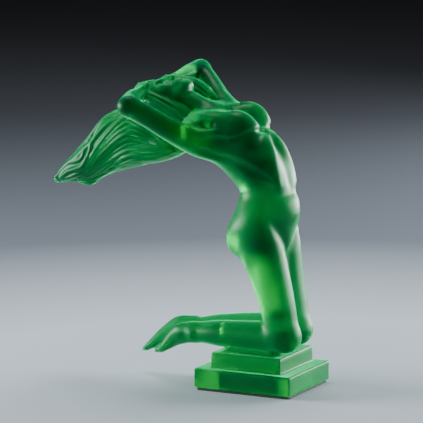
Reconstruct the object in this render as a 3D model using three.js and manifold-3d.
// A kneeling-figure hood ornament in pressed green glass, with its stepped plinth and the fixing under it.
// Millimetres, +Z up. +X is forwards, the way the figure's knees point, and the hair streams back along -X.
// The origin is the middle of the underside, where the ornament meets the hood.
import * as THREE from "three";
import { mergeVertices } from "three/addons/utils/BufferGeometryUtils.js";
import Module from "manifold-3d";

const wasm = await Module();
wasm.setup();

// ---- Driving dimensions ----
const SLAB = { halfX: 30, halfY: 27, low: 1.5, high: 12.7, corner: 1.6, ease: 0.7 };
const STEP = { midX: 0, halfX: 22, halfY: 22.3, high: 21.7, crown: 24.6, hip: 5.5 };
const PAD = { inset: 1, thick: 1.2 };
const RECESS = { halfX: 19, halfY: 15, top: 9.2 };
const PLATE = { play: 0.4, low: 1.5, high: 4 };
const BUSH = { x: 11, bore: 3.4, body: 5.6, flange: 7.4, flangeHigh: 5.8, high: 8.6, play: 0.2 };
const PAD_HOLE = 5;
const GAP = 0.3; // between neighbouring pieces
const SLIVER = 0.04; // edges this small, left where two forms were cut, are smoothed away
const HIP_Z = 77; // height of the cut between hips and thighs
const ROUND = 14; // facets round a limb
const SPAN_RINGS = 2; // rings in each span between two stations of a limb
const CAP_ANGLES = [30, 60]; // rings on a limb's rounded end, in degrees

// ---- Stations of the figure: x, y, z, half width, half depth, roll in degrees ----
const TORSO = [
  [1, 0, 87, 19, 13.5, 0],
  [1, 0, 94, 22.5, 15.5, 0],
  [2.5, 0, 103, 21, 16, 1],
  [3, 0, 113, 17.3, 15, 3],
  [-0.5, 0, 123, 17.3, 15.6, 7],
  [-7.5, 0, 132.5, 19.5, 15.8, 12],
  [-17, 0, 141, 20.5, 15.2, 16],
  [-27, 0, 147.3, 19.5, 13.3, 19],
  [-34, 0, 151, 15, 10, 19],
];
const BUST = [
  { at: [-8.5, -11, 148.5], radii: [12, 9, 10], nod: 37 },
  { at: [-12, 11, 151.3], radii: [11.2, 8.5, 9.4], nod: 37 },
];
const SEAT = { x: -7, y: 9.5, z: 87.5, rx: 9.5, ry: 10.5, rz: 12 };
const RIGHT_LEG = {
  thigh: [
    [1, -11.5, 93, 12, 14],
    [5.5, -11.5, 80, 12, 12.8],
    [11.5, -11.2, 63, 11.2, 10.8],
    [16, -11, 46, 10.4, 9.8],
    [17.7, -11, 34, 10, 9.5],
  ],
  shin: [
    [17, -11, 32, 9.5, 8.6],
    [-12, -10.5, 31, 8.2, 7.8],
    [-27, -10, 30.4, 6.8, 6.8],
    [-38, -9.5, 29.8, 5, 5.6],
  ],
  foot: [
    [-38, -9.5, 29.8, 5, 5.6],
    [-46, -9, 28.2, 4.6, 5.8],
    [-52.5, -6.8, 24.6, 4.4, 4.6],
    [-58.2, -5, 19.6, 4.5, 3.2],
    [-64, -3.8, 15, 3, 1.8],
  ],
  ankleX: -39,
};
const LEFT_LEG = {
  thigh: [
    [1, 11.5, 93, 12, 14],
    [5, 11.5, 80, 12, 12.8],
    [9, 11.2, 63, 11.2, 10.8],
    [12, 11, 46, 10.4, 9.8],
    [13.2, 11, 34, 10, 9.4],
  ],
  shin: [
    [12, 11, 33, 9.5, 8.6],
    [-19, 10.5, 32.2, 8, 7.4],
    [-36, 9.5, 30.6, 6.2, 5.6],
    [-48, 9, 29.4, 4.9, 5.4],
  ],
  foot: [
    [-48, 9, 29.4, 4.9, 5.4],
    [-56, 8.5, 28.2, 4.5, 5.2],
    [-64, 7, 23.8, 4.3, 4.2],
    [-71.5, 5.6, 18, 4.4, 3],
    [-78.5, 5, 13.4, 3, 1.8],
  ],
  ankleX: -50,
};
const KNEE_CUT = { x: 8, z: 38, tilt: 40 }; // a plane from the hollow of the knee down over its front
const RIGHT_ARM = {
  upper: [
    [-22, -14, 140, 9, 9],
    [-33, -20, 142, 7.8, 7.8],
    [-42, -28, 147.5, 6.8, 6.8],
    [-54, -37, 156.8, 6.3, 6.3],
    [-62.5, -42.3, 162.4, 6, 6],
  ],
  fore: [
    [-63.6, -42, 162.6, 5.8, 5.8],
    [-67, -32, 165, 5, 5],
    [-69.5, -20, 166, 4.3, 4],
    [-70.5, -12, 166, 4.6, 2.6],
    [-70.5, -6, 166.5, 4.2, 2.2],
  ],
};
const LEFT_ARM = {
  upper: [
    [-26, 13, 151, 8, 8],
    [-35, 20, 157, 7.2, 7.2],
    [-42, 27, 162.5, 6.1, 6.1],
    [-51, 35, 169.5, 5.6, 5.6],
    [-58.3, 41, 174.3, 5.2, 5.2],
  ],
  fore: [
    [-58.6, 42, 174.2, 5.2, 5.2],
    [-60, 32, 174.5, 5, 5],
    [-62.5, 21, 172.5, 4.3, 4],
    [-66, 13, 170.5, 4.4, 2.6],
    [-69, 8, 168.5, 4, 2.2],
  ],
};
const NECK = [
  [-31, 0, 152, 9, 8],
  [-42, 0, 159, 7.4, 7],
  [-52, 0, 163, 8.5, 8],
];
const HEAD = { at: [-62, 0, 160.5], length: 17, width: 12.5, depth: 14, nod: 6 };
const HAIR_CROWN = [
  [-58, 0, 150, 14, 10],
  [-70, 0, 147, 15, 14.5],
  [-80, 0, 142.5, 14.5, 15.5],
  [-91, 0, 136, 13.5, 14],
  [-101, 0, 128.5, 12.5, 11.8],
];
const HAIR_TAIL = [
  [-101, 0, 128.5, 12.5, 11.8],
  [-111, 0, 121, 10.5, 9.5],
  [-122, 0, 114.5, 8, 6.5],
  [-132.5, 0, 110.5, 4.5, 3],
];
const HAIR_UNDER = [
  [-38, -4, 146, 6, 4],
  [-50, -4, 141, 9, 7],
  [-62, -3, 136, 11, 9],
  [-76, -2, 130.5, 11, 9],
  [-90, 0, 125, 10, 7.5],
  [-101, 0, 120, 8, 6],
];
const HAIR_CUT_X = -101;

// ---- Solids ----
function solidOf(geometry) {
  geometry.deleteAttribute("normal");
  geometry.deleteAttribute("uv");
  const merged = mergeVertices(geometry, 1e-4);
  return new wasm.Manifold(
    new wasm.Mesh({
      numProp: 3,
      vertProperties: new Float32Array(merged.attributes.position.array),
      triVerts: new Uint32Array(merged.index.array),
    }),
  );
}

function geometryOf(solid) {
  const mesh = solid.getMesh();
  const geometry = new THREE.BufferGeometry();
  geometry.setAttribute("position", new THREE.BufferAttribute(mesh.vertProperties, 3));
  geometry.setIndex(new THREE.BufferAttribute(mesh.triVerts, 1));
  geometry.computeVertexNormals();
  return geometry;
}

const join = (solids) => solids.reduce((all, next) => all.add(next));
const cut = (solid, cutters) => cutters.reduce((left, next) => left.subtract(next), solid);

// The main body of a cut solid, without the slivers that a cut can leave beside it.
function mainBody(solid) {
  const largest = solid.decompose().reduce((most, next) => (next.volume() > most.volume() ? next : most));
  return largest.simplify(SLIVER);
}

// An oval form with rounded ends along a smooth curve through its stations, grown by so many millimetres.
function limb(stations, grow = 0) {
  const centres = new THREE.CatmullRomCurve3(stations.map((s) => new THREE.Vector3(s[0], s[1], s[2])));
  const ovals = new THREE.CatmullRomCurve3(stations.map((s) => new THREE.Vector3(s[3], s[4], s[5] ?? 0)));
  const rings = [];
  const lastRing = (stations.length - 1) * SPAN_RINGS;
  const ringAt = (t, capAngle, end) => {
    const tangent = centres.getTangent(t);
    const [width, depth, roll] = ovals.getPoint(t).toArray();
    const shrink = Math.cos(THREE.MathUtils.degToRad(capAngle));
    const push = end * Math.sin(THREE.MathUtils.degToRad(capAngle)) * (Math.min(width, depth) + grow);
    const side = new THREE.Vector3(0, 1, 0).addScaledVector(tangent, -tangent.y).normalize();
    const up = new THREE.Vector3().crossVectors(side, tangent);
    side.applyAxisAngle(tangent, THREE.MathUtils.degToRad(-roll));
    up.applyAxisAngle(tangent, THREE.MathUtils.degToRad(-roll));
    rings.push({
      centre: centres.getPoint(t).addScaledVector(tangent, push),
      side: side.multiplyScalar((width + grow) * shrink),
      up: up.multiplyScalar((depth + grow) * shrink),
    });
  };
  ringAt(0, 90, -1);
  [...CAP_ANGLES].reverse().forEach((angle) => ringAt(0, angle, -1));
  for (let i = 0; i <= lastRing; i++) ringAt(i / lastRing, 0, 0);
  CAP_ANGLES.forEach((angle) => ringAt(1, angle, 1));
  ringAt(1, 90, 1);
  const geometry = new THREE.SphereGeometry(1, ROUND, rings.length - 1);
  const position = geometry.attributes.position;
  for (let row = 0; row < rings.length; row++) {
    const { centre, side, up } = rings[row];
    for (let column = 0; column <= ROUND; column++) {
      const turn = ((column % ROUND) / ROUND) * 2 * Math.PI;
      const point = centre.clone().addScaledVector(side, Math.cos(turn)).addScaledVector(up, Math.sin(turn));
      position.setXYZ(row * (ROUND + 1) + column, point.x, point.y, point.z);
    }
  }
  return outward(solidOf(geometry), geometry);
}

// The same solid with its faces pointing out.
function outward(solid, geometry) {
  if (solid.volume() > 0) return solid;
  const turned = geometry.clone();
  turned.setIndex([...geometry.index.array].reverse());
  return solidOf(turned);
}

function ellipsoid(at, radii, nod = 0, grow = 0) {
  const geometry = new THREE.SphereGeometry(1, ROUND, ROUND / 2 + 3);
  geometry.scale(radii[0] + grow, radii[1] + grow, radii[2] + grow);
  geometry.rotateY(THREE.MathUtils.degToRad(nod));
  geometry.translate(...at);
  return solidOf(geometry);
}

function box(low, high) {
  const size = high.map((value, axis) => value - low[axis]);
  const geometry = new THREE.BoxGeometry(...size);
  geometry.translate(...low.map((value, axis) => value + size[axis] / 2));
  return solidOf(geometry);
}

// A rectangular block whose outline changes with height. Each tier is z, half length, half width, corner radius.
function tieredBlock(tiers, midX = 0) {
  const cornerFacets = 3;
  const facets = 4 * (cornerFacets + 1);
  const geometry = new THREE.CylinderGeometry(1, 1, 1, facets, tiers.length - 1);
  const outlines = tiers.map(([z, halfX, halfY, corner]) =>
    Array.from({ length: facets }, (_, i) => {
      const quarter = Math.floor(i / (cornerFacets + 1));
      const turn = ((quarter + (i % (cornerFacets + 1)) / cornerFacets) * Math.PI) / 2;
      const signX = quarter === 0 || quarter === 3 ? 1 : -1;
      const signY = quarter < 2 ? 1 : -1;
      return [
        midX + signX * (halfX - corner) + corner * Math.cos(turn),
        signY * (halfY - corner) + corner * Math.sin(turn),
        z,
      ];
    }),
  );
  const position = geometry.attributes.position;
  for (let i = 0; i < position.count; i++) {
    const [x, y, z] = [position.getX(i), position.getY(i), position.getZ(i)];
    const tier = Math.round((0.5 + y) * (tiers.length - 1));
    if (Math.hypot(x, z) < 0.5) {
      position.setXYZ(i, midX, 0, tiers[tier][0]);
      continue;
    }
    const column = Math.round((Math.atan2(x, z) / (2 * Math.PI)) * facets + facets) % facets;
    position.setXYZ(i, ...outlines[tier][column]);
  }
  return outward(solidOf(geometry), geometry);
}

// An upright cylinder.
function disc(x, radius, low, high) {
  const geometry = new THREE.CylinderGeometry(radius, radius, high - low, 24);
  geometry.rotateX(Math.PI / 2);
  geometry.translate(x, 0, (low + high) / 2);
  return solidOf(geometry);
}

// A flat sheet from low to high, with a round hole of that radius at each bush.
function sheet(halfX, halfY, corner, low, high, holeRadius) {
  const blank = tieredBlock([
    [low, halfX, halfY, corner],
    [high, halfX, halfY, corner],
  ]);
  return cut(
    blank,
    [-BUSH.x, BUSH.x].map((x) => disc(x, holeRadius, low - 1, high + 1)),
  );
}

// ---- The plinth ----
function plinthSlab() {
  const { halfX, halfY, low, high, corner, ease } = SLAB;
  const block = tieredBlock([
    [low, halfX - ease, halfY - ease, corner - ease / 2],
    [low + ease, halfX, halfY, corner],
    [high - ease, halfX, halfY, corner],
    [high, halfX - ease, halfY - ease, corner - ease / 2],
  ]);
  const recess = box([-RECESS.halfX, -RECESS.halfY, 0], [RECESS.halfX, RECESS.halfY, RECESS.top]);
  return block.subtract(recess);
}

function plinthStep(grow = 0) {
  const { midX, halfX, halfY, high, crown, hip } = STEP;
  const { corner, ease } = SLAB;
  const low = SLAB.high + GAP - grow;
  return tieredBlock(
    [
      [low, halfX + grow, halfY + grow, corner],
      [high - ease, halfX - ease / 2 + grow, halfY - ease / 2 + grow, corner],
      [high + grow / 2, halfX - 1.5 * ease + grow, halfY - 1.5 * ease + grow, corner],
      [crown + grow, halfX - hip + grow, halfY - hip / 2 + grow, corner],
    ],
    midX,
  );
}

// ---- The figure ----
function hipsAndChest(grow = 0) {
  const seats = [-1, 1].map((side) => ellipsoid([SEAT.x, side * SEAT.y, SEAT.z], [SEAT.rx, SEAT.ry, SEAT.rz], 12, grow));
  const bust = BUST.map(({ at, radii, nod }) => ellipsoid(at, radii, nod, grow));
  return join([limb(TORSO, grow), ...seats, ...bust, limb(RIGHT_LEG.thigh, grow), limb(LEFT_LEG.thigh, grow)]);
}

const FAR = 300;
const above = (z) => box([-FAR, -FAR, z], [FAR, FAR, FAR]);
const below = (z) => box([-FAR, -FAR, -FAR], [FAR, FAR, z]);
const behind = (x) => box([-FAR, -FAR, -FAR], [x, FAR, FAR]);
const before = (x) => box([x, -FAR, -FAR], [FAR, FAR, FAR]);

// Everything on the upper side of the slanted cut through a knee.
function aboveKnee(shift) {
  const geometry = new THREE.BoxGeometry(FAR, FAR, FAR);
  geometry.translate(0, 0, FAR / 2 + shift);
  geometry.rotateY(THREE.MathUtils.degToRad(KNEE_CUT.tilt));
  geometry.translate(KNEE_CUT.x, 0, KNEE_CUT.z);
  return solidOf(geometry);
}

// One leg as a thigh, a shin and a foot. side is -1 on the right and 1 on the left.
function leg({ thigh, shin, foot, ankleX }, side) {
  const half = GAP / 2;
  const ownSide = box([-FAR, side < 0 ? -FAR : half, -FAR], [FAR, side < 0 ? -half : FAR, FAR]);
  const seat = ellipsoid([SEAT.x, side * SEAT.y, SEAT.z], [SEAT.rx, SEAT.ry, SEAT.rz], 12);
  const whole = join([limb(thigh), limb(shin), limb(foot), seat]).intersect(ownSide);
  const clearOfStep = whole.subtract(plinthStep(GAP));
  return {
    thigh: mainBody(clearOfStep.intersect(aboveKnee(half)).intersect(below(HIP_Z - half))),
    shin: mainBody(clearOfStep.subtract(aboveKnee(-half)).intersect(before(ankleX + half))),
    foot: mainBody(clearOfStep.intersect(behind(ankleX - half))),
  };
}

function headAndNeck(grow = 0) {
  const skull = ellipsoid(HEAD.at, [HEAD.length, HEAD.width, HEAD.depth], HEAD.nod, grow);
  return join([skull, limb(NECK, grow)]);
}

function figureSections() {
  const right = leg(RIGHT_LEG, -1);
  const left = leg(LEFT_LEG, 1);
  const torso = mainBody(hipsAndChest().intersect(above(HIP_Z + GAP / 2)));
  const torsoRoom = hipsAndChest(GAP);
  const headRoom = headAndNeck(GAP);
  const upperArms = [RIGHT_ARM, LEFT_ARM].map((arm) => mainBody(cut(limb(arm.upper), [torsoRoom, headRoom])));
  const upperRooms = [RIGHT_ARM, LEFT_ARM].map((arm) => limb(arm.upper, GAP));
  const foreArms = [RIGHT_ARM, LEFT_ARM].map((arm) => mainBody(cut(limb(arm.fore), [headRoom, ...upperRooms])));
  const foreRooms = [RIGHT_ARM, LEFT_ARM].map((arm) => limb(arm.fore, GAP));
  const bodyRoom = [torsoRoom, headRoom, ...upperRooms, ...foreRooms];
  const crown = mainBody(cut(limb(HAIR_CROWN), bodyRoom).intersect(before(HAIR_CUT_X + GAP / 2)));
  const under = cut(limb(HAIR_UNDER), [...bodyRoom, limb(HAIR_CROWN, GAP)]);
  const tail = join([limb(HAIR_TAIL), limb(HAIR_UNDER)]).intersect(behind(HAIR_CUT_X - GAP / 2));
  return {
    right_thigh: right.thigh,
    left_thigh: left.thigh,
    right_shin: right.shin,
    left_shin: left.shin,
    right_foot: right.foot,
    left_foot: left.foot,
    torso,
    head: mainBody(headAndNeck().subtract(torsoRoom)),
    right_upper_arm: upperArms[0],
    left_upper_arm: upperArms[1],
    right_forearm: foreArms[0],
    left_forearm: foreArms[1],
    hair_crown: crown,
    hair_underside: mainBody(under.intersect(before(HAIR_CUT_X + GAP / 2))),
    hair_tail: mainBody(tail),
  };
}

// ---- The fixing under the plinth ----
// A threaded bush with a flange that sits on the plate.
function bush(x) {
  const { bore, body, flange, flangeHigh, high } = BUSH;
  const profile = [
    [bore, PLATE.low],
    [body, PLATE.low],
    [body, PLATE.high + GAP],
    [flange, PLATE.high + GAP],
    [flange, flangeHigh],
    [body, flangeHigh],
    [body, high],
    [bore, high],
    [bore, PLATE.low],
  ].map(([radius, z]) => new THREE.Vector2(radius, z));
  const geometry = new THREE.LatheGeometry(profile, 24);
  geometry.rotateX(Math.PI / 2);
  geometry.translate(x, 0, 0);
  return outward(solidOf(geometry), geometry);
}

function fixing() {
  const halfX = RECESS.halfX - PLATE.play;
  const halfY = RECESS.halfY - PLATE.play;
  const corner = 1;
  const { inset, thick } = PAD;
  const bushRoom = BUSH.body + BUSH.play;
  const cement = sheet(halfX, halfY, corner, PLATE.high + GAP, RECESS.top - GAP, bushRoom);
  const flangeRooms = [-BUSH.x, BUSH.x].map((x) => disc(x, BUSH.flange + BUSH.play, 0, BUSH.flangeHigh + BUSH.play));
  return {
    base_pad: sheet(SLAB.halfX - inset, SLAB.halfY - inset, SLAB.corner, 0, thick, PAD_HOLE),
    mount_plate: sheet(halfX, halfY, corner, PLATE.low, PLATE.high, bushRoom),
    front_bush: bush(BUSH.x),
    rear_bush: bush(-BUSH.x),
    cement_bed: cut(cement, flangeRooms),
  };
}

// ---- The finished group ----
const GLASS = { color: 0x0f8a3c, roughness: 0.22, metalness: 0 };
const BRASS = { color: 0xb08d4a, roughness: 0.35, metalness: 1 };
const STEEL = { color: 0x8d9196, roughness: 0.4, metalness: 1 };
const CEMENT = { color: 0xc9c4b8, roughness: 0.95, metalness: 0 };
const RUBBER = { color: 0x1b1c1c, roughness: 0.85, metalness: 0 };
const FIXING_FINISH = {
  base_pad: RUBBER,
  mount_plate: STEEL,
  front_bush: BRASS,
  rear_bush: BRASS,
  cement_bed: CEMENT,
};

const ornament = new THREE.Group();
ornament.name = "hood_ornament";

function place(name, solid, finish) {
  const mesh = new THREE.Mesh(geometryOf(solid), new THREE.MeshStandardMaterial(finish));
  mesh.name = name;
  ornament.add(mesh);
}

place("plinth_slab", plinthSlab(), GLASS);
place("plinth_step", plinthStep(), GLASS);
for (const [name, solid] of Object.entries(figureSections())) place(name, solid, GLASS);
for (const [name, solid] of Object.entries(fixing())) place(name, solid, FIXING_FINISH[name]);

export default ornament;
